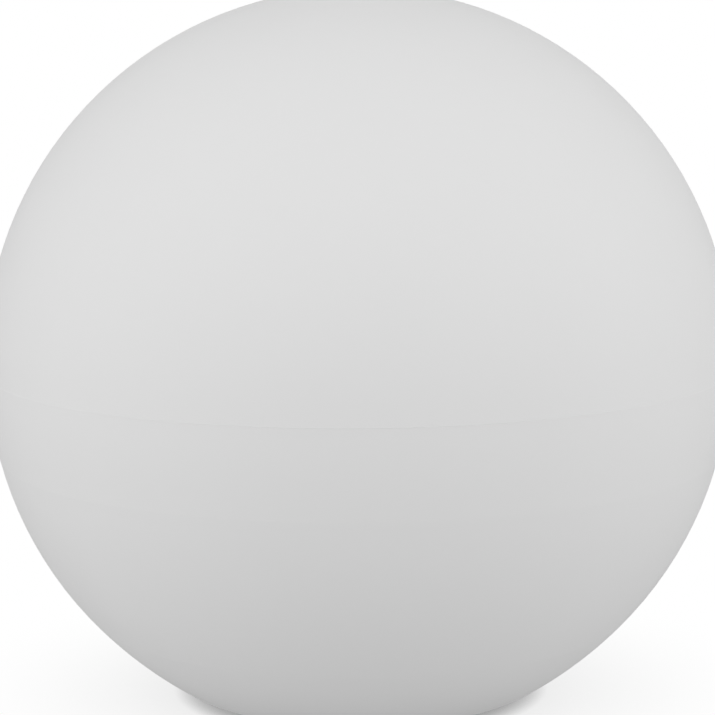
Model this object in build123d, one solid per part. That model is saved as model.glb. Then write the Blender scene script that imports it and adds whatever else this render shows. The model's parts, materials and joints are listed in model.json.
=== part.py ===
from build123d import *
import os
from math import sin, cos, asin, atan2, radians, degrees, sqrt

os.makedirs("parts", exist_ok=True)

# ---------------------------------------------------------------- driving dimensions (mm)
# globe
R_UPPER = 150.0            # outer radius of the upper half
R_LOWER = 149.25           # outer radius of the lower half, a little under the upper half's
SEAM_R = 149.9             # outer radius of the lower half at the seam, nearly flush with the upper half
SEAM_BLEND = 35.0          # depth below the seam where the wall reaches R_LOWER
WALL = 2.4                 # shell wall
FOOT_DROP = 134.1          # flat foot below the globe's centre
FOOT_ARC_START = 47.1      # angle from straight down where the wall leaves the sphere
FOOT_ARC_R = 167.85        # flatter arc towards the foot
FOOT_EDGE_R = 30.0         # soft edge of the foot
PAD_PROUD = 1.2            # rubber pads below the foot
ZC = FOOT_DROP + PAD_PROUD # height of the globe's centre above the ground

# lap joint at the equator
SPIGOT_RO = 146.9
SPIGOT_RI = 143.7
SPIGOT_H = 10.0
GASKET_Z = 5.4
GASKET_RMAJ = 146.2
GASKET_RMIN = 1.0
KEY_W = 7.6                # locating keys inside the upper half
KEY_SLOT_W = 8.4

# base
FOOT_RING_RI = 44.0        # inner edge of the flat foot ring
BASE_RECESS = 2.5
PAD_RAD = 5.5
PAD_PCD_R = 51.8
PAD_POCKET = 1.5
SOCKET_R = 8.0             # ground-stake socket
SOCKET_WALL = 3.2
SOCKET_TOP = -101.6
SOCKET_MOUTH = -133.5

# crown collar and the solar unit in it
SEAT_R = 33.0
SEAT_Z = 143.2
COLLAR_RI = 30.1
COLLAR_BOT = 127.2
BEZEL_R = 32.7
WINDOW_R = 28.7
POCKET_Z = 144.4
PLUG_Z = 141.5
CUP_R = 29.6
CUP_RI = 27.6
CUP_BOT = 110.0
CUP_FLOOR = 1.8
O_RING_Z = 137.6
O_RING_RMAJ = 29.05
O_RING_RMIN = 0.8

# electronics
BOARD_Z = 118.0
BOARD_T = 1.2
LED_XY = (0.0, -10.4)
BUTTON_XY = (17.0, -10.0)
BUTTON_R = 4.0
BUTTON_TRAVEL = 0.9
CELL_Y = 7.0               # battery axis
CELL_Z = 117.0
CELL_R = 5.25
BAY_X = 23.9
BAY_HALF_Y = 5.55
HINGE_Y = 15.0
HINGE_Z = 108.2
PIN_R = 0.8

parts = {}


def put(name, shape):
    parts[name] = Pos(0, 0, ZC) * shape


def lathe(path):
    """Solid of revolution about Z from a closed (r, z) outline.
    A point is (r, z); an arc is (r_mid, z_mid, r_end, z_end)."""
    cur = path[0]
    edges = []
    for s in path[1:] + [path[0]]:
        end = s[-2:]
        if len(s) == 2:
            if abs(s[0] - cur[0]) + abs(s[1] - cur[1]) < 1e-9:
                continue
            edges.append(Edge.make_line((cur[0], 0, cur[1]), (s[0], 0, s[1])))
        else:
            edges.append(Edge.make_three_point_arc((cur[0], 0, cur[1]), (s[0], 0, s[1]), (s[2], 0, s[3])))
        cur = end
    return revolve(Face(Wire(edges)), Axis.Z, 360)


def cyl(r, z0, z1, x=0.0, y=0.0):
    return Pos(x, y, (z0 + z1) / 2) * Cylinder(r, z1 - z0)


def block(x0, x1, y0, y1, z0, z1):
    return Pos((x0 + x1) / 2, (y0 + y1) / 2, (z0 + z1) / 2) * Box(x1 - x0, y1 - y0, z1 - z0)


def on_circle(rad, ang, cx=0.0, cz=0.0):
    """Point of a circle in the (r, z) plane, ang measured from straight down."""
    return (cx + rad * sin(radians(ang)), cz - rad * cos(radians(ang)))


def arc_to(rad, a0, a1, cx=0.0, cz=0.0):
    return on_circle(rad, (a0 + a1) / 2, cx, cz) + on_circle(rad, a1, cx, cz)


def cap_mid(r_end, sag, z_tip):
    """Middle point of a spherical cap's outline from its tip on the axis to (r_end, z_tip + sag)."""
    rad = (r_end ** 2 + sag ** 2) / (2 * sag)
    a = asin(r_end / rad) / 2
    return (rad * sin(a), z_tip + rad * (1 - cos(a)))


def slab(points, half, axis_angle=0.0):
    """Plate from an (r, z) outline, centred on the radial plane at axis_angle."""
    f = Face(Wire.make_polygon([(r, 0, z) for r, z in points], close=True))
    s = extrude(f, amount=half, both=True, dir=(0, 1, 0))
    return Rot(0, 0, axis_angle) * s


def wire_run(points, rad, radii):
    path = FilletPolyline(*points, radius=radii)
    prof = Plane(path @ 0, z_dir=path % 0) * Circle(rad)
    return sweep(prof, path=path)


# ---------------------------------------------------------------- lower half globe
# outer wall: sphere, flatter arc, soft edge, flat foot
a2x = -(FOOT_ARC_R - R_LOWER) * sin(radians(FOOT_ARC_START))
a2z = (FOOT_ARC_R - R_LOWER) * cos(radians(FOOT_ARC_START))
fz = -FOOT_DROP + FOOT_EDGE_R
fx = a2x + sqrt((FOOT_ARC_R - FOOT_EDGE_R) ** 2 - (fz - a2z) ** 2)
a_join = degrees(atan2(fx - a2x, a2z - fz))


def lower_wall(inset, a_top, a_bottom):
    """Outline of the wall from the equator down to the soft edge, inset inwards."""
    rl, r2, re = R_LOWER - inset, FOOT_ARC_R - inset, FOOT_EDGE_R - inset
    return [on_circle(rl, a_top), arc_to(rl, a_top, FOOT_ARC_START),
            arc_to(r2, FOOT_ARC_START, a_join, a2x, a2z), arc_to(re, a_join, a_bottom, fx, fz)]


floor_in = -FOOT_DROP + BASE_RECESS + WALL
re_in = FOOT_EDGE_R - WALL
a_floor = degrees(atan2(sqrt(re_in ** 2 - (fz - floor_in) ** 2), fz - floor_in))
a_spig = 90 - degrees(atan2(12.0, R_LOWER - WALL))
# below the seam the wall narrows gently from SEAM_R to the R_LOWER sphere
b_ang = degrees(asin(SEAM_BLEND / R_LOWER))
bp = on_circle(R_LOWER, 90 - b_ang)
bn = (cos(radians(b_ang)), -sin(radians(b_ang)))
dq = (SEAM_R - bp[0], -bp[1])
b_rad = -(dq[0] ** 2 + dq[1] ** 2) / (2 * (dq[0] * bn[0] + dq[1] * bn[1]))
bc = (bp[0] - b_rad * bn[0], bp[1] - b_rad * bn[1])
b_top = degrees(atan2(SEAM_R - bc[0], bc[1]))
outer = [(SEAM_R, 0.0), arc_to(b_rad, b_top, 90 - b_ang, *bc)] + lower_wall(0.0, 90 - b_ang, 0.0)[1:]
inner = lower_wall(WALL, a_spig, a_floor)


def flip(path):
    """The same open outline walked from its end to its start."""
    ends = [p[-2:] for p in path]
    out = [ends[-1]]
    for i in range(len(path) - 1, 0, -1):
        s = path[i]
        out.append(ends[i - 1] if len(s) == 2 else (s[0], s[1]) + ends[i - 1])
    return out


boss_r = SOCKET_R + SOCKET_WALL
recess_z = -FOOT_DROP + BASE_RECESS
outline = outer + [
    (FOOT_RING_RI + 1.0, -FOOT_DROP), (FOOT_RING_RI, -FOOT_DROP + 1.0), (FOOT_RING_RI, recess_z),
    (boss_r, recess_z), (boss_r, SOCKET_MOUTH), (SOCKET_R + 0.6, SOCKET_MOUTH), (SOCKET_R, SOCKET_MOUTH + 0.6),
    (SOCKET_R, SOCKET_TOP), (0.0, SOCKET_TOP), (0.0, SOCKET_TOP + WALL), (boss_r - 1.5, SOCKET_TOP + WALL),
    (boss_r, SOCKET_TOP + WALL - 1.5), (boss_r, floor_in)] + flip(inner) + [
    (SPIGOT_RI, -6.0), (SPIGOT_RI, SPIGOT_H), (SPIGOT_RO - 0.7, SPIGOT_H), (SPIGOT_RO, SPIGOT_H - 1.2),
    (SPIGOT_RO, GASKET_Z + 1.15), (GASKET_RMAJ - 1.05, GASKET_Z + 1.15), (GASKET_RMAJ - 1.05, GASKET_Z - 1.15),
    (SPIGOT_RO, GASKET_Z - 1.15), (SPIGOT_RO, 0.0)]
lower = lathe(outline)
# gussets round the socket, inside; ribs in the recess, underneath
for i in range(6):
    lower += slab([(boss_r - 0.6, floor_in - 0.6), (boss_r + 20, floor_in - 0.6), (boss_r + 20, floor_in + 1.5),
                   (boss_r + 3, SOCKET_TOP - 5), (boss_r - 0.6, SOCKET_TOP - 5)], 1.0, 60 * i)
    lower += slab([(boss_r - 0.6, recess_z + 0.6), (FOOT_RING_RI + 0.4, recess_z + 0.6),
                   (FOOT_RING_RI + 0.4, recess_z - 1.6), (boss_r - 0.6, recess_z - 1.6)], 0.9, 60 * i + 30)
# pad pockets and key slots
for i in range(4):
    a = radians(45 + 90 * i)
    lower -= cyl(PAD_RAD + 0.1, -FOOT_DROP - 1, -FOOT_DROP + PAD_POCKET, PAD_PCD_R * cos(a), PAD_PCD_R * sin(a))
for i in range(3):
    lower -= Rot(0, 0, 90 + 120 * i) * block(SPIGOT_RI - 2, SPIGOT_RO + 2, -KEY_SLOT_W / 2, KEY_SLOT_W / 2, 7.0, SPIGOT_H + 2)
put("lower_shell", lower)

put("seam_gasket", Pos(0, 0, GASKET_Z) * Torus(GASKET_RMAJ, GASKET_RMIN))

pads = []
for i in range(4):
    a = 45 + 90 * i
    pad = lathe([(0, -FOOT_DROP - PAD_PROUD), (PAD_RAD - 0.7, -FOOT_DROP - PAD_PROUD), (PAD_RAD, -FOOT_DROP - PAD_PROUD + 0.7),
                 (PAD_RAD, -FOOT_DROP + PAD_POCKET), (0, -FOOT_DROP + PAD_POCKET)])
    pads.append(Pos(PAD_PCD_R * cos(radians(a)), PAD_PCD_R * sin(radians(a)), 0) * pad)
put("foot_pads", Compound(pads))

# ---------------------------------------------------------------- upper half globe
ri = R_UPPER - WALL
RING_R = 37.5
ang = lambda r, rad: 180 - degrees(atan2(r, sqrt(rad ** 2 - r ** 2)))
a_seat, a_ring = ang(SEAT_R, R_UPPER), ang(RING_R, ri)
upper = lathe([
    (R_UPPER, 0.0), arc_to(R_UPPER, 90, a_seat), (SEAT_R, SEAT_Z), (COLLAR_RI, SEAT_Z), (COLLAR_RI, COLLAR_BOT),
    (COLLAR_RI + 2.0, COLLAR_BOT), (COLLAR_RI + 2.0, SEAT_Z - 2.2), (RING_R, SEAT_Z - 2.2), on_circle(ri, a_ring),
    arc_to(ri, a_ring, 90)])
# ribs from the collar to the crown
for i in range(6):
    upper += slab([(COLLAR_RI + 1.4, COLLAR_BOT + 3), (COLLAR_RI + 1.4, SEAT_Z - 1.6), (RING_R, SEAT_Z - 1.6)]
                  + [(r, sqrt(148.6 ** 2 - r ** 2)) for r in (40.0, 46.0, 53.0, 60.0)], 0.9, 60 * i + 30)
# locating keys inside the rim
for i in range(3):
    key = Rot(0, 0, 90 + 120 * i) * block(SPIGOT_RI + 0.4, ri + 0.6, -KEY_W / 2, KEY_W / 2, 7.4, 15.0)
    upper += key & Sphere(ri + 0.8)
# finger scallops beside the bezel, and the notch for its tab
for s in (0, 180):
    upper -= Rot(0, 0, s) * Pos(SEAT_R - 5.6, 0, SEAT_Z + 1.0) * extrude(Circle(8.0), 8.0)
upper -= block(-2.4, 2.4, SEAT_R - 2, SEAT_R + 1.9, SEAT_Z, SEAT_Z + 6)
put("upper_shell", upper)

# ---------------------------------------------------------------- solar unit: bezel and window
bezel = lathe([
    (0, PLUG_Z), (CUP_RI - 0.3, PLUG_Z), (CUP_RI - 0.3, SEAT_Z), (BEZEL_R - 0.8, SEAT_Z), (BEZEL_R, SEAT_Z + 0.8),
    (BEZEL_R, SEAT_Z + 2.7), (BEZEL_R - 0.14, SEAT_Z + 3.06, BEZEL_R - 0.5, SEAT_Z + 3.25), (29.7, SEAT_Z + 3.75),
    (29.1, SEAT_Z + 3.75), (WINDOW_R, SEAT_Z + 3.35), (WINDOW_R, POCKET_Z), (0, POCKET_Z)])
bezel += block(-2.0, 2.0, BEZEL_R - 1.5, SEAT_R + 1.5, SEAT_Z + 0.4, SEAT_Z + 2.6)
SCREW_R = 23.2
SCREW_ANGLES = (-90.0, 15.0, 165.0)
for a in SCREW_ANGLES:
    x, y = SCREW_R * cos(radians(a)), SCREW_R * sin(radians(a))
    bezel -= cyl(1.2, PLUG_Z - 1, POCKET_Z + 1, x, y)
    bezel -= cyl(2.3, POCKET_Z - 1.5, POCKET_Z + 1, x, y)
bezel -= cyl(2.6, PLUG_Z - 1, POCKET_Z + 1, 5.0, -4.0)
put("unit_bezel", bezel)

put("panel_board", lathe([(0, POCKET_Z), (28.3, POCKET_Z), (28.3, POCKET_Z + 0.8), (0, POCKET_Z + 0.8)]))
z_cell = POCKET_Z + 0.8
strips, ribbons = [], []
STRIP_W, STRIP_GAP, CELL_FIELD_R = 12.7, 0.7, 26.6
for i in range(4):
    x0 = -2 * STRIP_W - 1.5 * STRIP_GAP + i * (STRIP_W + STRIP_GAP)
    strips.append(cyl(CELL_FIELD_R, z_cell, z_cell + 0.18) & block(x0, x0 + STRIP_W, -40, 40, z_cell - 1, z_cell + 1))
    xm = x0 + STRIP_W / 2
    reach = sqrt(CELL_FIELD_R ** 2 - (abs(xm) + 0.8) ** 2) - 1.2
    ribbons.append(block(xm - 0.7, xm + 0.7, -reach, reach, z_cell + 0.18, z_cell + 0.26))
put("solar_cells", Compound(strips))
put("cell_ribbons", Compound(ribbons))
put("panel_seal", lathe([(26.9, z_cell), (28.3, z_cell), (28.3, z_cell + 0.3), (26.9, z_cell + 0.3)]))
put("panel_cover", lathe([(0, z_cell + 0.3), (28.4, z_cell + 0.3), (28.4, z_cell + 1.15), (28.1, z_cell + 1.45), (0, z_cell + 1.45)]))

# ---------------------------------------------------------------- solar unit: cup
bx0, by0, by1 = BAY_X, CELL_Y - BAY_HALF_Y, CELL_Y + BAY_HALF_Y
bay_roof = CELL_Z + CELL_R + 0.55
floor_z = CUP_BOT + CUP_FLOOR
cup = lathe([
    (0, CUP_BOT), (CUP_R - 1.0, CUP_BOT), (CUP_R, CUP_BOT + 1.0), (CUP_R, O_RING_Z - 0.95), (CUP_R - 1.4, O_RING_Z - 0.95),
    (CUP_R - 1.4, O_RING_Z + 0.95), (CUP_R, O_RING_Z + 0.95), (CUP_R, SEAT_Z), (CUP_RI, SEAT_Z), (CUP_RI, floor_z), (0, floor_z)])
bay = block(-bx0 - 1.0, bx0 + 1.0, by0 - 1.0, by1 + 1.0, CUP_BOT + 0.5, bay_roof + 1.0) & cyl(CUP_R - 0.6, CUP_BOT, SEAT_Z)
cup += bay
for a in SCREW_ANGLES:
    x, y = SCREW_R * cos(radians(a)), SCREW_R * sin(radians(a))
    lug = cyl(3.2, PLUG_Z - 10, PLUG_Z, x, y)
    web = Rot(0, 0, a) * block(SCREW_R, CUP_RI + 0.6, -2.2, 2.2, PLUG_Z - 10, PLUG_Z)
    cup += (lug + web) & cyl(CUP_RI + 0.6, CUP_BOT, SEAT_Z)
    cup -= cyl(1.05, PLUG_Z - 8.6, PLUG_Z + 1, x, y)
POSTS = ((-19.5, -8.5), (9.0, -22.0), (-9.0, -22.0))
for x, y in POSTS:
    cup += cyl(2.4, floor_z - 0.5, BOARD_Z, x, y)
    cup -= cyl(1.0, floor_z + 0.6, BOARD_Z + 1, x, y)
cup -= block(-bx0, bx0, by0, by1, CUP_BOT - 1, bay_roof)
for s in (-1, 1):
    cup -= block(s * (bx0 - 0.4) - 0.45, s * (bx0 - 0.4) + 0.45, CELL_Y - 1.8, CELL_Y + 1.8, bay_roof - 1, bay_roof + 2)
cup -= cyl(7.7, CUP_BOT - 1, floor_z + 0.2, *LED_XY)
cup -= cyl(BUTTON_R + 0.3, CUP_BOT - 1, floor_z + 0.2, *BUTTON_XY)
for s in (-1, 1):
    ear = block(s * 17.0 - 1.5, s * 17.0 + 1.5, HINGE_Y - 1.6, HINGE_Y + 1.6, HINGE_Z, CUP_BOT + 0.5)
    ear += Pos(s * 17.0, HINGE_Y, HINGE_Z) * Rot(0, 90, 0) * Cylinder(1.6, 3.0)
    cup += ear
cup -= Pos(0, HINGE_Y, HINGE_Z) * Rot(0, 90, 0) * Cylinder(PIN_R + 0.02, 60)
put("unit_housing", cup)
put("unit_o_ring", Pos(0, 0, O_RING_Z) * Torus(O_RING_RMAJ, O_RING_RMIN))


def pan_screw(x, y, z_head, z_tip, r_shank, r_head, h_head):
    """Pan-head screw, head upwards, cross recess."""
    s = lathe([(0, z_tip), (r_shank * 0.25, z_tip), (r_shank, z_tip + 1.4), (r_shank, z_head), (r_head, z_head),
               (r_head, z_head + 0.55 * h_head), (r_head * 0.72, z_head + h_head), (0, z_head + h_head)])
    s -= block(-r_head * 0.6, r_head * 0.6, -0.22, 0.22, z_head + 0.45 * h_head, z_head + h_head + 1)
    s -= block(-0.22, 0.22, -r_head * 0.6, r_head * 0.6, z_head + 0.45 * h_head, z_head + h_head + 1)
    return Pos(x, y, 0) * s


put("housing_screws", Compound([pan_screw(SCREW_R * cos(radians(a)), SCREW_R * sin(radians(a)), POCKET_Z - 1.5, PLUG_Z - 8.0, 1.0, 2.0, 1.3)
                                for a in SCREW_ANGLES]))

# ---------------------------------------------------------------- board, light, switch
top = BOARD_Z + BOARD_T
board = cyl(26.8, BOARD_Z, top) & block(-40, 40, -40, by0 - 1.3, BOARD_Z - 1, top + 1)
for x, y in POSTS:
    board -= cyl(1.2, BOARD_Z - 1, top + 1, x, y)
put("circuit_board", board)
put("board_screws", Compound([pan_screw(x, y, top, floor_z + 1.0, 0.95, 1.9, 1.3) for x, y in POSTS]))
put("controller_chip", block(-10.5, -5.5, -11.0, -7.0, top, top + 1.5) + block(-11.5, -4.5, -10.6, -10.2, top, top + 0.6)
    + block(-11.5, -4.5, -9.2, -8.8, top, top + 0.6) + block(-11.5, -4.5, -7.8, -7.4, top, top + 0.6))
IND = (4.0, -13.0)
put("inductor_core", Pos(*IND, 0) * lathe([(0, top), (3.4, top), (3.4, top + 1.0), (1.6, top + 1.0), (1.6, top + 4.4),
                                           (3.4, top + 4.4), (3.4, top + 5.4), (0, top + 5.4)]))
put("inductor_winding", Pos(*IND, 0) * lathe([(1.65, top + 1.05), (3.0, top + 1.05), (3.0, top + 4.35), (1.65, top + 4.35)]))
put("storage_capacitor", Pos(-15.0, -16.0, 0) * lathe([(0, top), (3.15, top), (3.15, top + 0.9), (2.95, top + 1.2), (3.15, top + 1.5),
                                                       (3.15, top + 7.6), (2.75, top + 8.0), (0, top + 8.0)]))
put("charge_diode", block(12.0, 16.3, -6.2, -3.6, top, top + 2.1))
put("chip_resistors", Compound([block(x, x + 2.0, y, y + 1.2, top, top + 0.5)
                                for x, y in ((-4.5, -19.0), (-1.2, -19.0), (11.5, -12.5), (-3.0, -8.8))]))
lx, ly = LED_XY
put("leds", Compound([block(lx + 3.2 * cos(radians(a)) - 1.4, lx + 3.2 * cos(radians(a)) + 1.4,
                            ly + 3.2 * sin(radians(a)) - 1.4, ly + 3.2 * sin(radians(a)) + 1.4, BOARD_Z - 0.8, BOARD_Z)
                      for a in (90, 210, 330)]))
put("led_lens", Pos(lx, ly, 0) * lathe([
    (0, CUP_BOT - 4.2), cap_mid(7.4, 4.2, CUP_BOT - 4.2) + (7.4, CUP_BOT), (7.4, floor_z), (8.8, floor_z), (8.8, floor_z + 1.2),
    (6.2, floor_z + 1.2), (6.2, CUP_BOT + 0.4), cap_mid(6.2, 3.2, CUP_BOT - 2.8) + (0, CUP_BOT - 2.8)]))
px, py = BUTTON_XY
sw = block(px - 3, px + 3, py - 3, py + 3, BOARD_Z - 3.5, BOARD_Z) - cyl(1.85, BOARD_Z - 4, BOARD_Z - 1.0, px, py)
put("switch_body", sw)
put("switch_plunger", cyl(1.7, BOARD_Z - 4.5, BOARD_Z - 2.2, px, py))
z_b = floor_z + 0.15
put("power_button", Pos(px, py, 0) * lathe([
    (0, CUP_BOT - 1.9), cap_mid(BUTTON_R - 0.6, 0.5, CUP_BOT - 1.9) + (BUTTON_R - 0.6, CUP_BOT - 1.4), (BUTTON_R, CUP_BOT - 0.8), (BUTTON_R, z_b), (5.2, z_b),
    (5.2, z_b + 0.8), (2.4, z_b + 0.8), (2.4, BOARD_Z - 4.5), (0, BOARD_Z - 4.5)]))

# ---------------------------------------------------------------- battery, contacts, door
lay = Pos(0, CELL_Y, CELL_Z) * Rot(0, 90, 0)
put("battery_cell", lay * lathe([(0, -22.0), (CELL_R - 0.5, -22.0), (CELL_R, -21.5), (CELL_R, 21.2), (CELL_R - 0.5, 21.7), (0, 21.7)]))
put("battery_cap", lay * lathe([(0, 21.7), (1.9, 21.7), (1.9, 22.3), (1.7, 22.5), (0, 22.5)]))
xe = BAY_X
pos_c = block(xe - 0.4, xe, CELL_Y - 4.2, CELL_Y + 4.2, CELL_Z - 4.2, CELL_Z + 4.6)
pos_c += block(xe - 0.4, xe, CELL_Y - 1.4, CELL_Y + 1.4, CELL_Z + 4, bay_roof + 3.2)
pos_c += Pos(0, CELL_Y, CELL_Z) * Rot(0, 90, 0) * cyl(1.6, 22.5, xe - 0.3)
put("battery_contact_positive", pos_c)
neg_c = block(-xe, -xe + 0.4, CELL_Y - 4.2, CELL_Y + 4.2, CELL_Z - 4.2, CELL_Z + 4.6)
neg_c += block(-xe, -xe + 0.4, CELL_Y - 1.4, CELL_Y + 1.4, CELL_Z + 4, bay_roof + 3.2)
leaf = Face(Wire.make_polygon([(-xe + 0.2, 0, CELL_Z + 3.4), (-22.35, 0, CELL_Z + 0.9), (-22.35, 0, CELL_Z - 0.9), (-xe + 0.7, 0, CELL_Z - 3.0),
                               (-xe + 0.9, 0, CELL_Z - 2.7), (-22.0, 0, CELL_Z - 0.9), (-22.0, 0, CELL_Z + 0.9), (-xe + 0.4, 0, CELL_Z + 3.8)], close=True))
neg_c += Pos(0, CELL_Y, 0) * extrude(leaf, amount=2.2, both=True, dir=(0, 1, 0))
put("battery_contact_negative", neg_c)

d0, d1 = HINGE_Z - 0.1, CUP_BOT - 0.35
door = block(-24.3, 24.3, by0 - 1.6, by1 + 0.7, d0, d1)
door = fillet(door.edges().filter_by(Axis.Z), 1.2)
door += block(-15.2, 15.2, by1 + 0.2, HINGE_Y, d0, d1)
door += Pos(0, HINGE_Y, HINGE_Z) * Rot(0, 90, 0) * Cylinder(1.5, 30.4)
door += block(-4.5, 4.5, by0 - 2.9, by0 - 1.2, d0, d0 + 0.9)
for k in range(3):
    door += block(-4.5, 4.5, by0 + 0.2 + 1.5 * k, by0 + 0.9 + 1.5 * k, d0 - 0.4, d0 + 0.3)
for s in (-1, 1):
    door += block(s * 14 - 5, s * 14 + 5, by0 + 0.6, by0 + 1.6, d1 - 0.2, CUP_BOT + 1.5)
door -= Pos(0, HINGE_Y, HINGE_Z) * Rot(0, 90, 0) * Cylinder(PIN_R + 0.06, 60)
put("battery_door", door)
put("door_hinge_pin", Pos(0, HINGE_Y, HINGE_Z) * Rot(0, 90, 0) * Cylinder(PIN_R, 37.0))

# ---------------------------------------------------------------- inner wires
LEAD_R = 0.6
zt = bay_roof + 2.4
leads = {
    "panel_lead_positive": ([(5.9, -4.0, POCKET_Z), (5.9, -4.0, 137.0), (10.5, -6.5, 130.0), (8.5, -8.5, 124.5), (8.5, -8.5, top)], [6, 5, 5]),
    "panel_lead_negative": ([(4.1, -4.0, POCKET_Z), (4.1, -4.0, 136.0), (0.5, -6.0, 130.0), (-1.0, -5.5, 124.5), (-1.0, -5.5, top)], [6, 8, 8]),
    "battery_lead_positive": ([(xe - 1.0, CELL_Y - 1.0, zt), (xe - 1.0, -0.5, zt + 0.8), (20.5, -3.0, 124.0), (20.5, -3.0, top)], [3.0, 3.0]),
    "battery_lead_negative": ([(-xe + 1.0, CELL_Y - 1.0, zt), (-xe + 1.0, -0.5, zt + 0.8), (-20.5, -3.0, 124.0), (-20.5, -3.0, top)], [3.0, 3.0]),
}
for name, (pts, radii) in leads.items():
    put(name, wire_run(pts, LEAD_R, radii))

# ---------------------------------------------------------------- write one file per piece
for name, shape in parts.items():
    export_step(shape, "parts/" + name + ".step")
    print(name, round(shape.volume, 2), len(shape.solids()))
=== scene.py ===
import bpy, bmesh, json, math
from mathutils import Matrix, Quaternion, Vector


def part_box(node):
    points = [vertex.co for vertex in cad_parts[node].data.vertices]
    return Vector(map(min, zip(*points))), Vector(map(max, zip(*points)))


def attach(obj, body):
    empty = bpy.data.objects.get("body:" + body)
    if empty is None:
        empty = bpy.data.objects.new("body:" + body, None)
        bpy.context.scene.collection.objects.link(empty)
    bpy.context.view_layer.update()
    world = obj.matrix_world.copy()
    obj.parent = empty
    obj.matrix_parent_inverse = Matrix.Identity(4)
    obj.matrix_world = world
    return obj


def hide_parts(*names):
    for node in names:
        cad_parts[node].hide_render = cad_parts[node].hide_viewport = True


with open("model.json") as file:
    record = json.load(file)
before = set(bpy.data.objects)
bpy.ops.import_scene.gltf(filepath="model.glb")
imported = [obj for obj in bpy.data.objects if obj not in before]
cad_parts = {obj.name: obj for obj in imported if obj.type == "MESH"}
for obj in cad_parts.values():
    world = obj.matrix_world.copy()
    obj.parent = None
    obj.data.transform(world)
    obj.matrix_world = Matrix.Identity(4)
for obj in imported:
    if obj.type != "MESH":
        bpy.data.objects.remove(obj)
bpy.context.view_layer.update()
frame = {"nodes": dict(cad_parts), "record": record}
nodes = frame["nodes"]
scene = bpy.context.scene

# ------------------------------------------------------------------ sizes shared with the model (metres)
R_UPPER = 0.150
CENTRE = Vector((0.0, 0.0, 0.1353))

# ------------------------------------------------------------------ camera: about nine degrees above level, long lens
ELEV = math.radians(9.0)
DIST = 7.2 * R_UPPER
FOCAL_PX = 2666.0
cam_data = bpy.data.cameras.new("camera")
cam_data.sensor_width = 36.0
cam_data.lens = 36.0 * FOCAL_PX / 715.0
cam_data.clip_start, cam_data.clip_end = 0.05, 100.0
cam = bpy.data.objects.new("camera", cam_data)
scene.collection.objects.link(cam)
back = Vector((0.0, -math.cos(ELEV), math.sin(ELEV)))
up = Vector((0.0, math.sin(ELEV), math.cos(ELEV)))
cam.location = CENTRE + back * DIST
aim = CENTRE + up * (DIST * 4.0 / FOCAL_PX) - Vector((1.0, 0.0, 0.0)) * (DIST * 1.3 / FOCAL_PX)
cam.rotation_mode = "QUATERNION"
cam.rotation_quaternion = (aim - cam.location).to_track_quat("-Z", "Y") @ Quaternion((0.0, 0.0, 1.0), math.radians(-0.35))
scene.camera = cam

# ------------------------------------------------------------------ tone
scene.view_settings.view_transform = "Standard"
scene.view_settings.look = "None"
scene.view_settings.exposure = 0.0
scene.view_settings.gamma = 1.0


# ------------------------------------------------------------------ node helpers
class Net:
    """Small helper to write a shader tree as expressions."""

    def __init__(self, tree):
        self.t = tree

    def new(self, kind, **props):
        n = self.t.nodes.new(kind)
        for k, v in props.items():
            setattr(n, k, v)
        return n

    def put(self, node, key, value):
        s = node.inputs[key]
        if isinstance(value, bpy.types.NodeSocket):
            self.t.links.new(value, s)
        elif value is not None:
            s.default_value = value

    def math(self, op, a, b=None, c=None, clamp=False):
        n = self.new("ShaderNodeMath", operation=op, use_clamp=clamp)
        self.put(n, 0, a)
        if b is not None:
            self.put(n, 1, b)
        if c is not None:
            self.put(n, 2, c)
        return n.outputs[0]

    def vec(self, op, a, b=None):
        n = self.new("ShaderNodeVectorMath", operation=op)
        self.put(n, 0, a)
        if b is not None:
            self.put(n, 1, b)
        return n.outputs["Value" if op in ("DOT_PRODUCT", "LENGTH", "DISTANCE") else "Vector"]

    def mix(self, fac, a, b):
        """Colour mix, a where fac is 0 and b where it is 1."""
        n = self.new("ShaderNodeMix", data_type="RGBA")
        self.put(n, 0, fac)
        self.put(n, 6, rgba(a))
        self.put(n, 7, rgba(b))
        return n.outputs[2]

    def span(self, x, lo, hi, out_lo=0.0, out_hi=1.0, smooth=False):
        n = self.new("ShaderNodeMapRange", interpolation_type="SMOOTHSTEP" if smooth else "LINEAR")
        for k, v in zip((0, 1, 2, 3, 4), (x, lo, hi, out_lo, out_hi)):
            self.put(n, k, v)
        return n.outputs[0]

    def noise(self, vec, scale, detail=2.0, rough=0.5, distortion=0.0):
        n = self.new("ShaderNodeTexNoise")
        for k, v in (("Vector", vec), ("Scale", scale), ("Detail", detail), ("Roughness", rough), ("Distortion", distortion)):
            self.put(n, k, v)
        return n.outputs[0]

    def cells(self, vec, scale, feature="F1", out="Distance", randomness=1.0):
        n = self.new("ShaderNodeTexVoronoi", feature=feature)
        for k, v in (("Vector", vec), ("Scale", scale), ("Randomness", randomness)):
            self.put(n, k, v)
        return n.outputs[out]

    def stretch(self, vec, sx, sy, sz):
        return self.vec("MULTIPLY", vec, (sx, sy, sz))

    def axes(self, vec):
        n = self.new("ShaderNodeSeparateXYZ")
        self.put(n, 0, vec)
        return n.outputs

    def bump(self, height, metres, normal=None):
        n = self.new("ShaderNodeBump")
        self.put(n, "Strength", 1.0)
        self.put(n, "Distance", metres)
        self.put(n, "Height", height)
        if normal is not None:
            self.put(n, "Normal", normal)
        return n.outputs[0]


def rgba(c):
    return c if isinstance(c, bpy.types.NodeSocket) or len(c) == 4 else tuple(c) + (1.0,)


def grey(v):
    return (v, v, v)


def shade(c, k):
    return tuple(min(1.0, x * k) for x in c)


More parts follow.
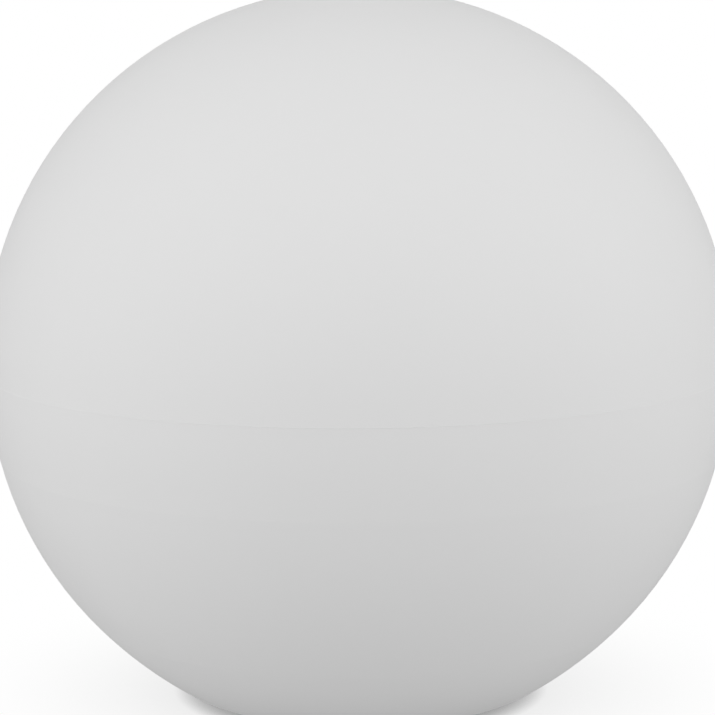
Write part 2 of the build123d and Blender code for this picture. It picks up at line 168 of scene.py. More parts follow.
# ------------------------------------------------------------------ soft studio light: a large key above the lens,
# broad panels left and right, a weaker wall behind and the pale floor's bounce from below
LIGHTS = [
    ((0, -1, 1), 3.0, 0.427),
    ((1, 0, 0), 3.0, 0.378),
    ((-1, 0, 0), 7.0, 1.240),
    ((1, 0, 0), 7.0, 0.755),
    ((-1, -0.3, 0.8), 4.0, 0.319),
    ((1, -0.3, 0.8), 4.0, 0.609),
    ((0, 0, -1), 2.0, 0.932),
    ((-0.8, -1, 0.7), 5.0, 1.062),
    ((0.8, -1, 0.7), 5.0, 0.726),
    ((-1, -0.6, 0.25), 6.0, 0.235),
    ((0, 1, 0.2), 8.0, 1.200),
    ((0, 1, 1), 3.0, 0.150),
    ((-1, 1, 0.2), 4.0, 0.300),
    ((1, 1, 0.2), 4.0, 0.300),
]
GLOSS_DIM = 0.40
world = bpy.data.worlds.new("studio")
scene.world = world
world.use_nodes = True
wt = world.node_tree
wt.nodes.clear()
w = Net(wt)
ray = w.new("ShaderNodeTexCoord").outputs["Generated"]
total = None
for i, (direction, power, strength) in enumerate(LIGHTS):
    d = Vector(direction).normalized()
    dot = w.vec("DOT_PRODUCT", ray, tuple(d))
    lobe = w.math("MULTIPLY", w.math("POWER", w.math("MAXIMUM", dot, 0.0), power), strength)
    lobe.node.name = "lobe_%d" % i
    total = lobe if total is None else w.math("ADD", total, lobe)
bg_light = w.new("ShaderNodeBackground")
w.put(bg_light, "Color", total)
bg_seen = w.new("ShaderNodeBackground")
w.put(bg_seen, "Color", (1.0, 1.0, 1.0, 1.0))
# mirror-like surfaces see dimmer panels than the ones that light the matt white
bg_gloss = w.new("ShaderNodeBackground")
w.put(bg_gloss, "Color", total)
w.put(bg_gloss, "Strength", GLOSS_DIM)
path = w.new("ShaderNodeLightPath")
dim = w.new("ShaderNodeMixShader")
w.put(dim, 0, path.outputs["Is Glossy Ray"])
wt.links.new(bg_light.outputs[0], dim.inputs[1])
wt.links.new(bg_gloss.outputs[0], dim.inputs[2])
pick = w.new("ShaderNodeMixShader")
w.put(pick, 0, path.outputs["Is Camera Ray"])
wt.links.new(dim.outputs[0], pick.inputs[1])
wt.links.new(bg_seen.outputs[0], pick.inputs[2])
wt.links.new(pick.outputs[0], w.new("ShaderNodeOutputWorld").inputs[0])


# ------------------------------------------------------------------ floor: white, with a soft contact shadow
def stage_plane(name, half, z, shader):
    me = bpy.data.meshes.new(name)
    me.from_pydata([(-half, -half, 0), (half, -half, 0), (half, half, 0), (-half, half, 0)], [], [(0, 1, 2, 3)])
    ob = bpy.data.objects.new(name, me)
    scene.collection.objects.link(ob)
    ob.location.z = z
    m = bpy.data.materials.new(name)
    m.use_nodes = True
    m.node_tree.nodes.clear()
    n = Net(m.node_tree)
    out = n.new("ShaderNodeOutputMaterial")
    m.node_tree.links.new(shader(n), out.inputs[0])
    me.materials.append(m)
    return ob


def floor_shader(n):
    """White, darkened softly near the object and strongly where it all but touches."""
    level = 1.0
    for dist, power, amount in FLOOR_SHADOWS:
        ao = n.new("ShaderNodeAmbientOcclusion", samples=12)
        n.put(ao, "Distance", dist)
        dark = n.math("POWER", n.math("SUBTRACT", 1.0, ao.outputs["AO"]), power)
        level = n.math("SUBTRACT", level, n.math("MULTIPLY", dark, amount))
    em = n.new("ShaderNodeEmission")
    n.put(em, "Color", (1.0, 1.0, 1.0, 1.0))
    n.put(em, "Strength", level)
    return em.outputs[0]


def shade_shader(n):
    """Dark under the foot, clear further out: keeps bounced light off the foot's edge."""
    pos = n.new("ShaderNodeTexCoord").outputs["Object"]
    fade = n.span(n.vec("LENGTH", pos), SHADE_IN, SHADE_OUT, SHADE_MAX, 0.0, smooth=True)
    mix = n.new("ShaderNodeMixShader")
    n.put(mix, 0, fade)
    n.t.links.new(n.new("ShaderNodeBsdfTransparent").outputs[0], mix.inputs[1])
    em = n.new("ShaderNodeEmission")
    n.put(em, "Color", rgba(grey(1.0)))
    n.put(em, "Strength", 0.06)
    n.t.links.new(em.outputs[0], mix.inputs[2])
    return mix.outputs[0]


FLOOR_SHADOWS = ((0.085, 2.4, 0.24), (0.006, 1.5, 0.50))
SHADE_IN, SHADE_OUT, SHADE_MAX = 0.060, 0.125, 0.22
floor = stage_plane("floor", 30.0, -0.0002, floor_shader)
floor.visible_diffuse = floor.visible_glossy = floor.visible_transmission = floor.visible_shadow = False
under = stage_plane("floor_shade", 0.14, -0.0004, shade_shader)
under.visible_camera = under.visible_glossy = under.visible_transmission = False


# ------------------------------------------------------------------ materials
def start(name):
    m = bpy.data.materials.new(name)
    m.use_nodes = True
    m.node_tree.nodes.clear()
    n = Net(m.node_tree)
    p = n.new("ShaderNodeBsdfPrincipled")
    n.t.links.new(p.outputs[0], n.new("ShaderNodeOutputMaterial").inputs[0])
    pos = n.new("ShaderNodeTexCoord").outputs["Object"]
    return m, n, p, pos


def wear_mask(n, pos, radius, scale):
    """1 on convex edges, broken up by noise."""
    bev = n.new("ShaderNodeBevel", samples=4)
    n.put(bev, "Radius", radius)
    geo = n.new("ShaderNodeNewGeometry").outputs["Normal"]
    edge = n.math("SUBTRACT", 1.0, n.vec("DOT_PRODUCT", bev.outputs[0], geo))
    rub = n.math("ADD", edge, n.math("MULTIPLY", n.math("SUBTRACT", n.noise(pos, scale, 3.0), 0.5), 0.12))
    return n.span(rub, 0.04, 0.22)


def plastic(name, col, rough=0.5, mottle=0.03, mottle_scale=60.0, grain_scale=2600.0, grain=8e-6, peel=0.0, peel_scale=160.0,
            rough_var=0.06, tint=None, spec=0.5, sss=0.0, sss_scale=0.003, wear=None, coat=0.0, seam_painted_light=None):
    """Moulded plastic or rubber: mottled colour, uneven sheen, moulding grain and slight waviness."""
    m, n, p, pos = start(name)
    big = n.noise(pos, mottle_scale, 3.0, 0.55)
    fine = n.noise(pos, mottle_scale * 9.0, 2.0, 0.6)
    f = n.math("ADD", n.math("MULTIPLY", big, 0.65), n.math("MULTIPLY", fine, 0.35))
    f = n.span(f, 0.30, 0.70)
    c = n.mix(f, shade(col, 1.0 - mottle), shade(tint or col, 1.0 + mottle))
    r = n.span(n.noise(pos, mottle_scale * 2.3, 3.0, 0.6), 0.25, 0.75, rough - rough_var, rough + rough_var)
    if wear:
        k = wear_mask(n, pos, wear[1], 900.0)
        c = n.mix(k, c, wear[0])
        r = n.math("ADD", r, n.math("MULTIPLY", k, -0.08))
    if seam_painted_light:  # height, half width and gain of a pale band painted along the seam: painted light that stands in for light the thin edges let through and offsets the seam's dark shading
        k = n.span(n.math("ABSOLUTE", n.math("SUBTRACT", n.axes(pos)[2], seam_painted_light[0])), 0.0, seam_painted_light[1], 1.0, 0.0)
        c = n.mix(k, c, shade(col, 1.0 + seam_painted_light[2]))
    n.put(p, "Base Color", c)
    n.put(p, "Roughness", r)
    n.put(p, "Specular IOR Level", spec)
    nrm = None
    if peel:
        nrm = n.bump(n.noise(pos, peel_scale, 1.0, 0.4), peel)
    nrm = n.bump(n.noise(pos, grain_scale, 2.0, 0.6), grain, nrm)
    n.put(p, "Normal", nrm)
    if sss:
        n.put(p, "Subsurface Weight", sss)
        n.put(p, "Subsurface Radius", (1.0, 1.0, 1.0))
        n.put(p, "Subsurface Scale", sss_scale)
    if coat:
        n.put(p, "Coat Weight", coat)
        n.put(p, "Coat Roughness", 0.12)
    return m


def metal(name, col, rough=0.3, var=0.10, along=(1.0, 1.0, 1.0), scale=700.0, groove=3e-6, stain=None, stain_scale=180.0):
    """Plated or drawn metal: fine drawn lines, tarnish patches and uneven polish."""
    m, n, p, pos = start(name)
    lines = n.noise(n.stretch(pos, *along), scale, 3.0, 0.6)
    patch = n.noise(pos, stain_scale, 4.0, 0.6)
    c = n.mix(n.span(patch, 0.38, 0.72), col, stain or shade(col, 0.78))
    c2 = n.mix(n.math("MULTIPLY", lines, 0.25), c, shade(col, 0.70))
    n.put(p, "Base Color", c2)
    n.put(p, "Metallic", 1.0)
    r = n.math("ADD", n.span(lines, 0.25, 0.75, rough - var, rough + var), n.span(patch, 0.4, 0.8, 0.0, 0.10))
    n.put(p, "Roughness", r)
    n.put(p, "Normal", n.bump(lines, groove))
    return m


M = {}
# the globe: matt white; the halves were moulded apart, so their grain and mottling do not run on over the seam; the
# lower half is painted about one percent paler than the upper, painted light that offsets the darker shading just below
# the seam
GLOBE_UPPER, GLOBE_LOWER = 0.806, 0.8145
# painted light: a band half a millimetre each side of the seam, painted 3.6 percent paler over the seam's dark line
SEAM_PAINTED_LIGHT = (CENTRE.z, 0.0005, 0.036)
globe = dict(rough=0.60, mottle=0.004, mottle_scale=22.0, grain_scale=2200.0, grain=7e-6, peel=1.4e-5, peel_scale=170.0,
             rough_var=0.05, spec=0.22)
M["globe_upper"] = plastic("globe_upper", grey(GLOBE_UPPER), seam_painted_light=SEAM_PAINTED_LIGHT, **globe)
M["globe_lower"] = plastic("globe_lower", grey(GLOBE_LOWER), seam_painted_light=SEAM_PAINTED_LIGHT, **globe)
M["seal_grey"] = plastic("seal_grey", (0.62, 0.62, 0.60), rough=0.55, mottle=0.04, mottle_scale=140.0, grain=5e-6, spec=0.3)
M["pad_rubber"] = plastic("pad_rubber", grey(0.030), rough=0.72, mottle=0.18, mottle_scale=260.0, grain_scale=3200.0, grain=2.2e-5,
                          tint=(0.050, 0.048, 0.045), spec=0.3)
M["bezel_black"] = plastic("bezel_black", (0.022, 0.022, 0.024), rough=0.46, mottle=0.10, mottle_scale=180.0, grain_scale=3400.0, grain=1.6e-5,
                           rough_var=0.08, wear=((0.075, 0.075, 0.078), 0.0004))
M["housing_white"] = plastic("housing_white", (0.70, 0.70, 0.69), rough=0.48, mottle=0.015, mottle_scale=70.0, grain_scale=2600.0, grain=9e-6,
                             peel=1.0e-5, peel_scale=220.0)
M["door_white"] = plastic("door_white", (0.67, 0.67, 0.665), rough=0.45, mottle=0.02, mottle_scale=90.0, grain_scale=2600.0, grain=9e-6,
                          wear=((0.76, 0.76, 0.75), 0.0003))
M["o_ring_black"] = plastic("o_ring_black", grey(0.018), rough=0.40, mottle=0.20, mottle_scale=420.0, grain=3e-6, tint=(0.030, 0.030, 0.029), spec=0.45)
M["tape_black"] = plastic("tape_black", grey(0.016), rough=0.8, mottle=0.25, mottle_scale=500.0, grain_scale=2400.0, grain=3e-5, spec=0.2)
M["panel_backing"] = plastic("panel_backing", (0.014, 0.014, 0.018), rough=0.42, mottle=0.15, mottle_scale=400.0, grain=6e-6)
M["diode_black"] = plastic("diode_black", grey(0.022), rough=0.5, mottle=0.12, mottle_scale=700.0, grain_scale=6000.0, grain=6e-6)
M["resistor_black"] = plastic("resistor_black", grey(0.03), rough=0.38, mottle=0.15, mottle_scale=900.0, grain=3e-6)
M["switch_black"] = plastic("switch_black", grey(0.026), rough=0.42, mottle=0.1, mottle_scale=600.0, grain_scale=4200.0, grain=8e-6)
M["switch_plunger"] = plastic("switch_plunger", grey(0.05), rough=0.35, mottle=0.1, mottle_scale=600.0, grain=3e-6)
M["button_grey"] = plastic("button_grey", (0.17, 0.175, 0.18), rough=0.62, mottle=0.06, mottle_scale=300.0, grain_scale=3200.0, grain=1.2e-5,
                           tint=(0.20, 0.205, 0.21), spec=0.3)
M["wire_red"] = plastic("wire_red", (0.42, 0.018, 0.014), rough=0.34, mottle=0.08, mottle_scale=500.0, grain=3e-6)
M["wire_black"] = plastic("wire_black", grey(0.015), rough=0.34, mottle=0.15, mottle_scale=500.0, grain=3e-6)
M["screw_steel"] = metal("screw_steel", (0.60, 0.61, 0.60), rough=0.28, scale=2200.0, stain=(0.55, 0.54, 0.45))
M["tinned_ribbon"] = metal("tinned_ribbon", (0.74, 0.74, 0.73), rough=0.30, along=(1.0, 0.06, 1.0), scale=3200.0, groove=2e-6)
M["battery_cap_steel"] = metal("battery_cap_steel", (0.70, 0.69, 0.66), rough=0.24, scale=1500.0)
M["contact_nickel"] = metal("contact_nickel", (0.64, 0.62, 0.57), rough=0.26, along=(1.0, 1.0, 0.1), scale=1800.0, stain=(0.50, 0.46, 0.38))
M["pin_steel"] = metal("pin_steel", (0.58, 0.58, 0.58), rough=0.26, along=(0.05, 1.0, 1.0), scale=2400.0)


def silicon():
    """Blue-black silicon: crystal flakes of slightly different blue, fine silver fingers across each strip."""
    m, n, p, pos = start("silicon")
    x, y, z = n.axes(pos)
    flat = n.stretch(pos, 1.0, 0.55, 0.0)
    flake = n.cells(flat, 230.0, out="Color")
    tone = n.axes(flake)[0]
    speck = n.noise(pos, 2600.0, 2.0, 0.6)
    c = n.mix(n.span(tone, 0.0, 1.0, 0.0, 0.8), (0.0060, 0.0110, 0.040), (0.017, 0.034, 0.115))
    c = n.mix(n.math("MULTIPLY", speck, 0.25), c, (0.004, 0.007, 0.024))
    pitch, half = 0.0019, 0.00006
    ph = n.math("PINGPONG", n.math("ADD", y, 0.05), pitch / 2)
    line = n.span(ph, half, half * 1.8, 1.0, 0.0)
    rag = n.span(n.noise(n.stretch(pos, 0.3, 1.0, 1.0), 2400.0, 2.0), 0.25, 0.55)
    line = n.math("MULTIPLY", line, n.math("ADD", n.math("MULTIPLY", rag, 0.3), 0.7))
    c = n.mix(line, c, (0.24, 0.25, 0.27))
    n.put(p, "Base Color", c)
    n.put(p, "Roughness", n.math("ADD", n.span(speck, 0.2, 0.8, 0.26, 0.34), n.math("MULTIPLY", line, 0.15)))
    n.put(p, "Normal", n.bump(n.noise(flat, 320.0, 2.0, 0.5), 6e-6))
    return m


def window():
    """Clear moulded acrylic: polished, with faint smears and specks of dust."""
    m, n, p, pos = start("clear_window")
    smear = n.noise(n.stretch(pos, 1.0, 0.4, 1.0), 90.0, 4.0, 0.6, 0.6)
    dust = n.noise(pos, 420.0, 3.0, 0.6)
    r = n.math("ADD", n.span(smear, 0.42, 0.75, 0.015, 0.09), n.span(dust, 0.60, 0.80, 0.0, 0.08))
    n.put(p, "Base Color", n.mix(n.span(dust, 0.60, 0.80), (0.97, 0.985, 0.98), (0.91, 0.92, 0.91)))
    n.put(p, "Roughness", r)
    n.put(p, "IOR", 1.49)
    n.put(p, "Transmission Weight", 1.0)
    n.put(p, "Normal", n.bump(n.noise(pos, 45.0, 1.0), 6e-6))
    return m


def frosted():
    """Frosted lens: milky, etched inside."""
    m, n, p, pos = start("lens_frosted")
    f = n.noise(pos, 260.0, 3.0, 0.6)
    n.put(p, "Base Color", n.mix(f, (0.86, 0.87, 0.86), (0.95, 0.955, 0.95)))
    n.put(p, "Roughness", n.span(f, 0.25, 0.75, 0.32, 0.46))
    n.put(p, "IOR", 1.49)
    n.put(p, "Transmission Weight", 0.55)
    n.put(p, "Normal", n.bump(n.noise(pos, 3800.0, 2.0, 0.7), 1.0e-5))
    return m


def board():
    """Green solder mask over straight copper runs, tinned pads and vias, glass weave showing faintly."""
    m, n, p, pos = start("board_green")
    x, y, z = n.axes(pos)
    flat = n.stretch(pos, 1000.0, 1000.0, 0.0)

    def reach(ax, ay, bx, by):
        """Distance in mm from a straight run."""
        d = Vector((bx - ax, by - ay, 0.0))
        q = n.vec("SUBTRACT", flat, (ax, ay, 0.0))
        s = n.math("MINIMUM", n.math("MAXIMUM", n.vec("DOT_PRODUCT", q, tuple(d.normalized())), 0.0), d.length)
        sc = n.new("ShaderNodeVectorMath", operation="SCALE")
        sc.inputs[0].default_value = tuple(d.normalized())
        n.put(sc, "Scale", s)
        return n.vec("DISTANCE", q, sc.outputs[0])

    run = None
    for pts in (((20.5, -3.0), (18.6, -4.9), (16.3, -4.9)), ((12.0, -4.9), (8.5, -8.4)), ((-1.0, -5.5), (-2.4, -5.5), (-4.5, -7.6)),
                ((-4.5, -9.0), (-3.7, -8.2), (-3.0, -8.2)), ((-1.0, -8.2), (1.6, -10.8)), ((-4.5, -10.4), (-1.9, -13.0), (1.2, -13.0)),
                ((6.8, -13.0), (10.4, -13.0), (11.5, -11.9)), ((13.5, -11.9), (15.0, -10.4), (17.5, -10.4)), ((-11.5, -10.4), (-14.2, -13.1)),
                ((-15.0, -18.6), (-12.4, -21.2), (-7.3, -21.2), (-4.5, -18.4)), ((-2.5, -18.4), (-1.2, -18.4)), ((0.8, -18.4), (3.0, -16.2)),
                ((-11.5, -7.6), (-15.0, -4.1), (-19.0, -4.1), (-20.5, -3.0)), ((-24.5, -1.3), (24.5, -1.3)), ((-18.0, -9.5), (-18.0, -4.1)),
                ((9.0, -20.0), (12.5, -16.5), (12.5, -12.4)), ((6.0, -22.0), (9.0, -20.0))):
        for (ax, ay), (bx, by) in zip(pts, pts[1:]):
            d = reach(ax, ay, bx, by)
            run = d if run is None else n.math("MINIMUM", run, d)
    rim = n.math("ABSOLUTE", n.math("SUBTRACT", n.vec("LENGTH", flat), 25.3))
    run = n.span(n.math("MINIMUM", run, rim), 0.26, 0.32, 1.0, 0.0)
    dot = None
    for px, py, pr in ((8.5, -8.5, 1.1), (-1.0, -5.5, 1.1), (20.5, -3.0, 1.1), (-20.5, -3.0, 1.1), (-4.4, -18.4, 0.8), (-2.6, -18.4, 0.8),
                       (-1.1, -18.4, 0.8), (0.7, -18.4, 0.8), (11.6, -11.9, 0.8), (13.4, -11.9, 0.8), (-2.9, -8.2, 0.8), (-1.1, -8.2, 0.8),
                       (12.0, -4.9, 1.0), (16.3, -4.9, 1.0), (-18.0, -9.5, 0.5), (6.0, -22.0, 0.5), (9.0, -20.0, 0.5), (17.5, -10.4, 0.5)):
        d = n.math("DIVIDE", n.vec("DISTANCE", flat, (px, py, 0.0)), pr)
        dot = d if dot is None else n.math("MINIMUM", dot, d)
    pad = n.span(dot, 0.94, 1.0, 1.0, 0.0)
    weave = n.math("MULTIPLY", n.math("SINE", n.math("MULTIPLY", x, 2 * math.pi / 0.0007)),
                   n.math("SINE", n.math("MULTIPLY", y, 2 * math.pi / 0.0007)))
    cloud = n.noise(pos, 150.0, 3.0)
    c = n.mix(n.span(cloud, 0.3, 0.7), (0.009, 0.080, 0.032), (0.013, 0.105, 0.042))
    c = n.mix(n.math("MULTIPLY", run, 0.85), c, (0.035, 0.215, 0.080))
    n.put(p, "Base Color", n.mix(pad, c, (0.70, 0.70, 0.68)))
    n.put(p, "Metallic", pad)
    n.put(p, "Roughness", n.span(n.noise(pos, 420.0, 2.0), 0.2, 0.8, 0.26, 0.40))
    h = n.math("ADD", n.math("MULTIPLY", n.math("MAXIMUM", run, pad), 1.0), n.math("MULTIPLY", weave, 0.12))
    n.put(p, "Normal", n.bump(h, 3.0e-5))
    return m


def chip():
    """Moulded black package, bright tinned legs."""
    m, n, p, pos = start("chip_black")
    x, y, z = n.axes(pos)
    leg = n.span(n.math("ABSOLUTE", n.math("SUBTRACT", x, -0.008)), 0.00250, 0.00252)
    f = n.noise(pos, 5200.0, 2.0)
    body = n.mix(f, grey(0.016), grey(0.028))
    n.put(p, "Base Color", n.mix(leg, body, (0.66, 0.66, 0.64)))
    n.put(p, "Metallic", leg)
    n.put(p, "Roughness", n.math("ADD", n.span(f, 0.2, 0.8, 0.46, 0.60), n.math("MULTIPLY", leg, -0.2)))
    n.put(p, "Normal", n.bump(f, 6e-6))
    return m


def ferrite():
    m, n, p, pos = start("ferrite")
    f = n.noise(pos, 1900.0, 4.0, 0.7)
    # pits: dented by the bump and painted darker, painted shade in the pits
    pit = n.span(n.cells(pos, 1500.0), 0.0, 0.25, 1.0, 0.0)
    c = n.mix(f, (0.030, 0.030, 0.032), (0.060, 0.058, 0.056))
    n.put(p, "Base Color", n.mix(n.math("MULTIPLY", pit, 0.6), c, grey(0.012)))
    n.put(p, "Roughness", n.span(f, 0.2, 0.8, 0.55, 0.78))
    n.put(p, "Normal", n.bump(n.math("SUBTRACT", f, n.math("MULTIPLY", pit, 0.6)), 2.5e-5))
    return m


def copper():
    """Enamelled winding wire."""
    m, n, p, pos = start("copper")
    f = n.noise(pos, 600.0, 3.0)
    c = n.mix(f, (0.52, 0.20, 0.075), (0.64, 0.29, 0.12))
    n.put(p, "Base Color", c)
    n.put(p, "Metallic", 0.9)
    n.put(p, "Roughness", n.span(f, 0.2, 0.8, 0.20, 0.36))
    n.put(p, "Coat Weight", 0.6)
    n.put(p, "Coat Roughness", 0.15)
    n.put(p, "Normal", n.bump(n.noise(pos, 2500.0, 2.0), 4e-6))
    return m


def sleeve():
    """Plain shrink sleeve over a steel can: satin green, a bare ring of metal at each end."""
    m, n, p, pos = start("battery_sleeve")
    x, y, z = n.axes(pos)
    bare = n.span(n.math("ABSOLUTE", n.math("SUBTRACT", x, -0.0001)), 0.02125, 0.02135)
    f = n.noise(n.stretch(pos, 0.2, 1.0, 1.0), 420.0, 3.0, 0.6)
    wrap = n.mix(f, (0.030, 0.150, 0.062), (0.042, 0.185, 0.080))
    n.put(p, "Base Color", n.mix(bare, wrap, (0.62, 0.61, 0.58)))
    n.put(p, "Metallic", bare)
    n.put(p, "Roughness", n.span(f, 0.2, 0.8, 0.28, 0.42))
    n.put(p, "Normal", n.bump(f, 1.2e-5))
    return m


def capacitor():
    """Dark sleeve with a pale stripe, bright can top."""
    m, n, p, pos = start("capacitor_sleeve")
    x, y, z = n.axes(pos)
    lo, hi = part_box("storage_capacitor")
    cx, cy = (lo.x + hi.x) / 2, (lo.y + hi.y) / 2
    dx, dy = n.math("SUBTRACT", x, cx), n.math("SUBTRACT", y, cy)
    rr = n.math("SQRT", n.math("ADD", n.math("MULTIPLY", dx, dx), n.math("MULTIPLY", dy, dy)))
    top = n.math("MULTIPLY", n.span(z, hi.z - 0.00035, hi.z - 0.00030), n.span(rr, 0.00265, 0.00260))
    stripe = n.span(n.math("ARCTAN2", dy, dx), 2.6, 2.62)
    f = n.noise(pos, 700.0, 3.0)
    c = n.mix(f, (0.016, 0.020, 0.038), (0.024, 0.030, 0.055))
    c = n.mix(stripe, c, (0.50, 0.52, 0.55))
    n.put(p, "Base Color", n.mix(top, c, (0.70, 0.70, 0.70)))
    n.put(p, "Metallic", top)
    n.put(p, "Roughness", n.span(f, 0.2, 0.8, 0.24, 0.36))
    n.put(p, "Normal", n.bump(f, 8e-6))
    return m


def phosphor():
    """White ceramic package with a disc of yellow phosphor gel."""
    m, n, p, pos = start("led_phosphor")
    x, y, z = n.axes(pos)
    gel = None
    for a in (90, 210, 330):
        dx = n.math("SUBTRACT", x, 0.0032 * math.cos(math.radians(a)))
        dy = n.math("SUBTRACT", y, -0.0104 + 0.0032 * math.sin(math.radians(a)))
        rr = n.math("SQRT", n.math("ADD", n.math("MULTIPLY", dx, dx), n.math("MULTIPLY", dy, dy)))
        g = n.span(rr, 0.00100, 0.00106, 1.0, 0.0)
        gel = g if gel is None else n.math("MAXIMUM", gel, g)
    f = n.noise(pos, 3000.0, 2.0)
    white = n.mix(f, (0.78, 0.78, 0.76), (0.84, 0.84, 0.82))
    yel = n.mix(f, (0.78, 0.58, 0.10), (0.84, 0.66, 0.16))
    n.put(p, "Base Color", n.mix(gel, white, yel))
    n.put(p, "Roughness", n.math("SUBTRACT", n.span(f, 0.2, 0.8, 0.40, 0.52), n.math("MULTIPLY", gel, 0.2)))
    n.put(p, "Normal", n.bump(f, 6e-6))
    return m


for key, make in (("silicon", silicon), ("clear_window", window), ("lens_frosted", frosted), ("board_green", board), ("chip_black", chip),
                  ("ferrite", ferrite), ("copper", copper), ("battery_sleeve", sleeve), ("capacitor_sleeve", capacitor), ("led_phosphor", phosphor)):
    M[key] = make()

slot_of = {s["node"]: s["material_slot"] for s in frame["record"]["subparts"]}
for name, ob in nodes.items():
    key = {"upper_shell": "globe_upper", "lower_shell": "globe_lower"}.get(name, slot_of[name])
    ob.data.materials.clear()
    ob.data.materials.append(M[key])

# ------------------------------------------------------------------ small inner pieces in finer detail (sizes in millimetres)
BOARD_TOP, BOARD_BOTTOM = 254.5, 253.3


def rounded_box(bm, lo, hi, r, mat=0):
    old = set(bm.faces)
    vs = bmesh.ops.create_cube(bm, size=1.0)["verts"]
    for v in vs:
        v.co = Vector([(a + b) / 2 + c * (b - a) for a, b, c in zip(lo, hi, v.co)])
    edges = list({e for v in vs for e in v.link_edges})
    bmesh.ops.bevel(bm, geom=edges, offset=r, offset_type="OFFSET", segments=2, profile=0.5, affect="EDGES", clamp_overlap=True)
    for f in bm.faces:
        if f not in old:
            f.material_index = mat


def skin(bm, rows, mat=0, caps=(True, True)):
    """Closed skin over rings of equal length; a ring of one point closes to a tip."""
    for a, b in zip(rows, rows[1:]):
        n = max(len(a), len(b))
        for k in range(n):
            j = (k + 1) % n
            if len(b) == 1:
                f = bm.faces.new((a[k], a[j], b[0]))
            elif len(a) == 1:
                f = bm.faces.new((a[0], b[j], b[k]))
            else:
                f = bm.faces.new((a[k], a[j], b[j], b[k]))
            f.material_index = mat
    for cap, row in zip(caps, (rows[0], rows[-1])):
        if cap and len(row) > 2:
            bm.faces.new(row).material_index = mat


def wire_tube(bm, pts, r, sides=8, mat=0):
    """Round wire along a line of points."""
    rows, nrm = [], None
    for i, q in enumerate(pts):
        d = (pts[min(i + 1, len(pts) - 1)] - pts[max(i - 1, 0)]).normalized()
        nrm = (nrm - d * nrm.dot(d)).normalized() if nrm else d.orthogonal().normalized()
        bi = d.cross(nrm)
        rows.append([bm.verts.new(q + (nrm * math.cos(2 * math.pi * k / sides) + bi * math.sin(2 * math.pi * k / sides)) * r) for k in range(sides)])
    skin(bm, rows, mat)


def threaded(bm, x, y, z_tip, z_top, r_out, pitch=0.8, seg=20, mat=0):
    """Tapping-screw shank: a helical ridge that runs out into a point."""
    n = int(round((z_top - z_tip) / (pitch / 8)))
    rows = []
    for i in range(n + 1):
        z = z_tip + (z_top - z_tip) * i / n
        row = []
        for k in range(seg):
            ridge = max(0.0, 1.0 - abs((z / pitch - k / seg) % 1.0 - 0.5) / 0.30)
            r = r_out * (0.76 + 0.24 * ridge) * min(1.0, 0.22 + 0.78 * (z - z_tip) / 1.6)
            t = 2 * math.pi * k / seg
            row.append(bm.verts.new((x + r * math.cos(t), y + r * math.sin(t), z)))
        rows.append(row)
    skin(bm, rows, mat)


def finer(name, node, mats, bm):
    """Shows a piece made here in place of a node of the solar unit."""
    bmesh.ops.scale(bm, vec=(0.001, 0.001, 0.001), verts=bm.verts)
    bmesh.ops.recalc_face_normals(bm, faces=bm.faces)
    me = bpy.data.meshes.new(name)
    bm.to_mesh(me)
    bm.free()
    for m in mats:
        me.materials.append(m)
    for poly in me.polygons:
        poly.use_smooth = True
    me.set_sharp_from_angle(angle=math.radians(38.0))
    ob = bpy.data.objects.new(name, me)
    scene.collection.objects.link(ob)
    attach(ob, "solar_unit")
    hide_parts(node)
    return ob


# winding: three layers of enamelled wire on the ferrite spool
bm = bmesh.new()
WIRE_R, TURNS, STEPS = 0.215, 6.2, 28
lo_z, hi_z = 255.55 + WIRE_R + 0.01, 258.85 - WIRE_R - 0.01
line = []
for layer, rad in enumerate((1.88, 2.29, 2.70)):
    n_pt = int(TURNS * STEPS)
    for i in range(n_pt + 1):
        s = i / n_pt
        turn = 2 * math.pi * (layer * TURNS + s * TURNS)
        z = lo_z + (hi_z - lo_z) * (s if layer % 2 == 0 else 1.0 - s)
        r = rad - (0.41 * max(0.0, 1.0 - i / 8.0) ** 2 if layer else 0.0)
        if layer == 0 or i > 0:
            line.append(Vector((4.0 + r * math.cos(turn), -13.0 + r * math.sin(turn), z)))
wire_tube(bm, line, WIRE_R)
finer("inductor_winding_wire", "inductor_winding", [M["copper"]], bm)

# light emitters: ceramic package with a well of phosphor gel, tinned ends
bm = bmesh.new()
for deg in (90, 210, 330):
    cx, cy = 3.2 * math.cos(math.radians(deg)), -10.4 + 3.2 * math.sin(math.radians(deg))
    z0, z1 = BOARD_BOTTOM - 0.8, BOARD_BOTTOM

    def square(k, z, n=40):
        t = 2 * math.pi * (k + 0.5) / 40
        g = min(1.30 / max(abs(math.cos(t)), 1e-9), 1.40 / max(abs(math.sin(t)), 1e-9)) * n
        return bm.verts.new((cx + g * math.cos(t), cy + g * math.sin(t), z))

    def ring(k, r, z):
        t = 2 * math.pi * (k + 0.5) / 40
        return bm.verts.new((cx + r * math.cos(t), cy + r * math.sin(t), z))

    rows = [[square(k, z1, 1.0) for k in range(40)], [square(k, z0 + 0.07, 1.0) for k in range(40)], [square(k, z0, 0.96) for k in range(40)]]
    rows += [[ring(k, r, z0 + dz) for k in range(40)] for r, dz in ((1.16, 0.0), (0.99, 0.27), (0.70, 0.22), (0.38, 0.18))]
    rows.append([bm.verts.new((cx, cy, z0 + 0.165))])
    skin(bm, rows)
    for s in (-1, 1):
        xs = sorted((cx + s * 1.18, cx + s * 1.40))
        rounded_box(bm, (xs[0], cy - 0.95, z1 - 0.36), (xs[1], cy + 0.95, z1), 0.05, 1)
finer("led_packages", "leds", [M["led_phosphor"], M["tinned_ribbon"]], bm)
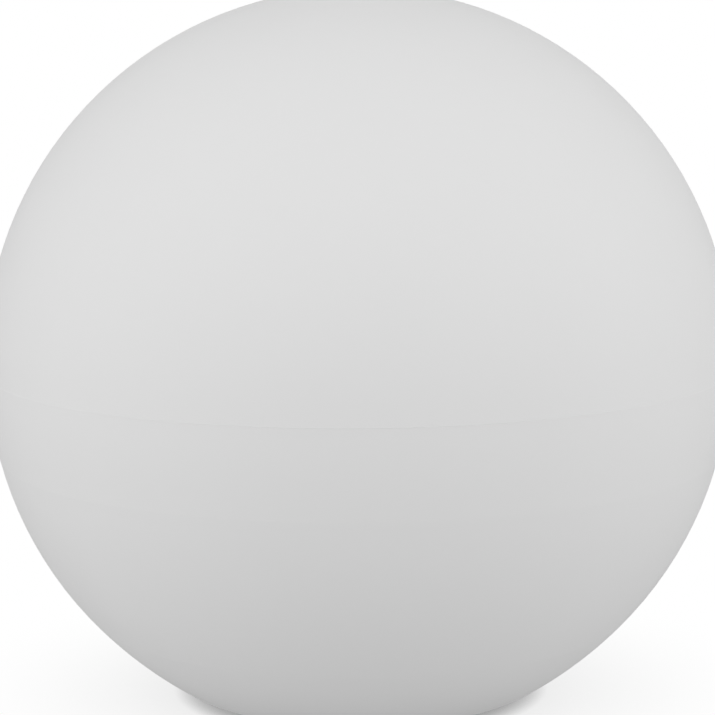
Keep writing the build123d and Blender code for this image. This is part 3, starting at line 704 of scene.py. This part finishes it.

# diode: moulded body with rounded edges, bent tinned tabs, a pale band at one end
bm = bmesh.new()
rounded_box(bm, (12.28, -6.2, BOARD_TOP + 0.18), (16.02, -3.6, BOARD_TOP + 2.08), 0.16, 0)
rounded_box(bm, (12.95, -6.05, BOARD_TOP + 1.95), (13.45, -3.75, BOARD_TOP + 2.10), 0.008, 2)
for side in (-1, 1):
    strip = ((0.85, 0.0), (2.03, 0.0), (2.11, 0.04), (2.15, 0.12), (2.15, 1.13), (2.11, 1.21), (2.03, 1.25), (1.70, 1.25),
             (1.70, 1.05), (1.95, 1.05), (1.95, 0.20), (0.85, 0.20))
    rows = [[bm.verts.new((14.15 + side * px, py, BOARD_TOP + pz)) for px, pz in strip] for py in (-5.6, -4.2)]
    skin(bm, rows, 1)
band = plastic("diode_band", (0.50, 0.50, 0.48), rough=0.55, mottle=0.10, mottle_scale=900.0, grain=3e-6)
finer("charge_diode_moulded", "charge_diode", [M["diode_black"], M["tinned_ribbon"], band], bm)

# chip resistors: white ceramic, black glaze on top, wrapped tinned ends
bm = bmesh.new()
for x0, y0 in ((-4.5, -19.0), (-1.2, -19.0), (11.5, -12.5), (-3.0, -8.8)):
    z0 = BOARD_TOP
    rounded_box(bm, (x0 + 0.10, y0 + 0.03, z0 + 0.03), (x0 + 1.90, y0 + 1.17, z0 + 0.43), 0.03, 2)
    rounded_box(bm, (x0 + 0.40, y0 + 0.09, z0 + 0.38), (x0 + 1.60, y0 + 1.11, z0 + 0.47), 0.03, 0)
    for xa in (x0, x0 + 1.64):
        rounded_box(bm, (xa, y0, z0), (xa + 0.36, y0 + 1.2, z0 + 0.50), 0.06, 1)
ceramic = plastic("resistor_ceramic", (0.72, 0.72, 0.70), rough=0.5, mottle=0.04, mottle_scale=900.0, grain=4e-6)
finer("chip_resistors_capped", "chip_resistors", [M["resistor_black"], M["tinned_ribbon"], ceramic], bm)

# screws: the modelled pan heads on cut threads
for name, node, z_head, z_tip, r_out in (("housing_screws_threaded", "housing_screws", 278.2, 268.8, 1.0),
                                         ("board_screws_threaded", "board_screws", 254.5, 248.1, 0.95)):
    bm = bmesh.new()
    bm.from_mesh(nodes[node].data)
    bmesh.ops.scale(bm, vec=(1000.0, 1000.0, 1000.0), verts=bm.verts)
    bmesh.ops.remove_doubles(bm, verts=bm.verts, dist=0.002)
    bmesh.ops.delete(bm, geom=[f for f in bm.faces if f.calc_center_median().z < z_head - 0.01], context="FACES")
    bmesh.ops.holes_fill(bm, edges=[e for e in bm.edges if e.is_boundary], sides=0)
    heads = sorted({(round(v.co.x), round(v.co.y)) for v in bm.verts})
    centres = []
    for hx, hy in heads:
        near = [c for c in centres if math.hypot(c[0][0] - hx, c[0][1] - hy) < 6.0]
        if near:
            near[0].append((hx, hy))
        else:
            centres.append([(hx, hy)])
    for group in centres:
        seed = Vector((sum(q[0] for q in group) / len(group), sum(q[1] for q in group) / len(group)))
        own = [v.co for v in bm.verts if (v.co.xy - seed).length < 3.0]
        cx = (min(q.x for q in own) + max(q.x for q in own)) / 2
        cy = (min(q.y for q in own) + max(q.y for q in own)) / 2
        threaded(bm, cx, cy, z_tip, z_head + 0.15, r_out)
    finer(name, node, [M["screw_steel"]], bm)
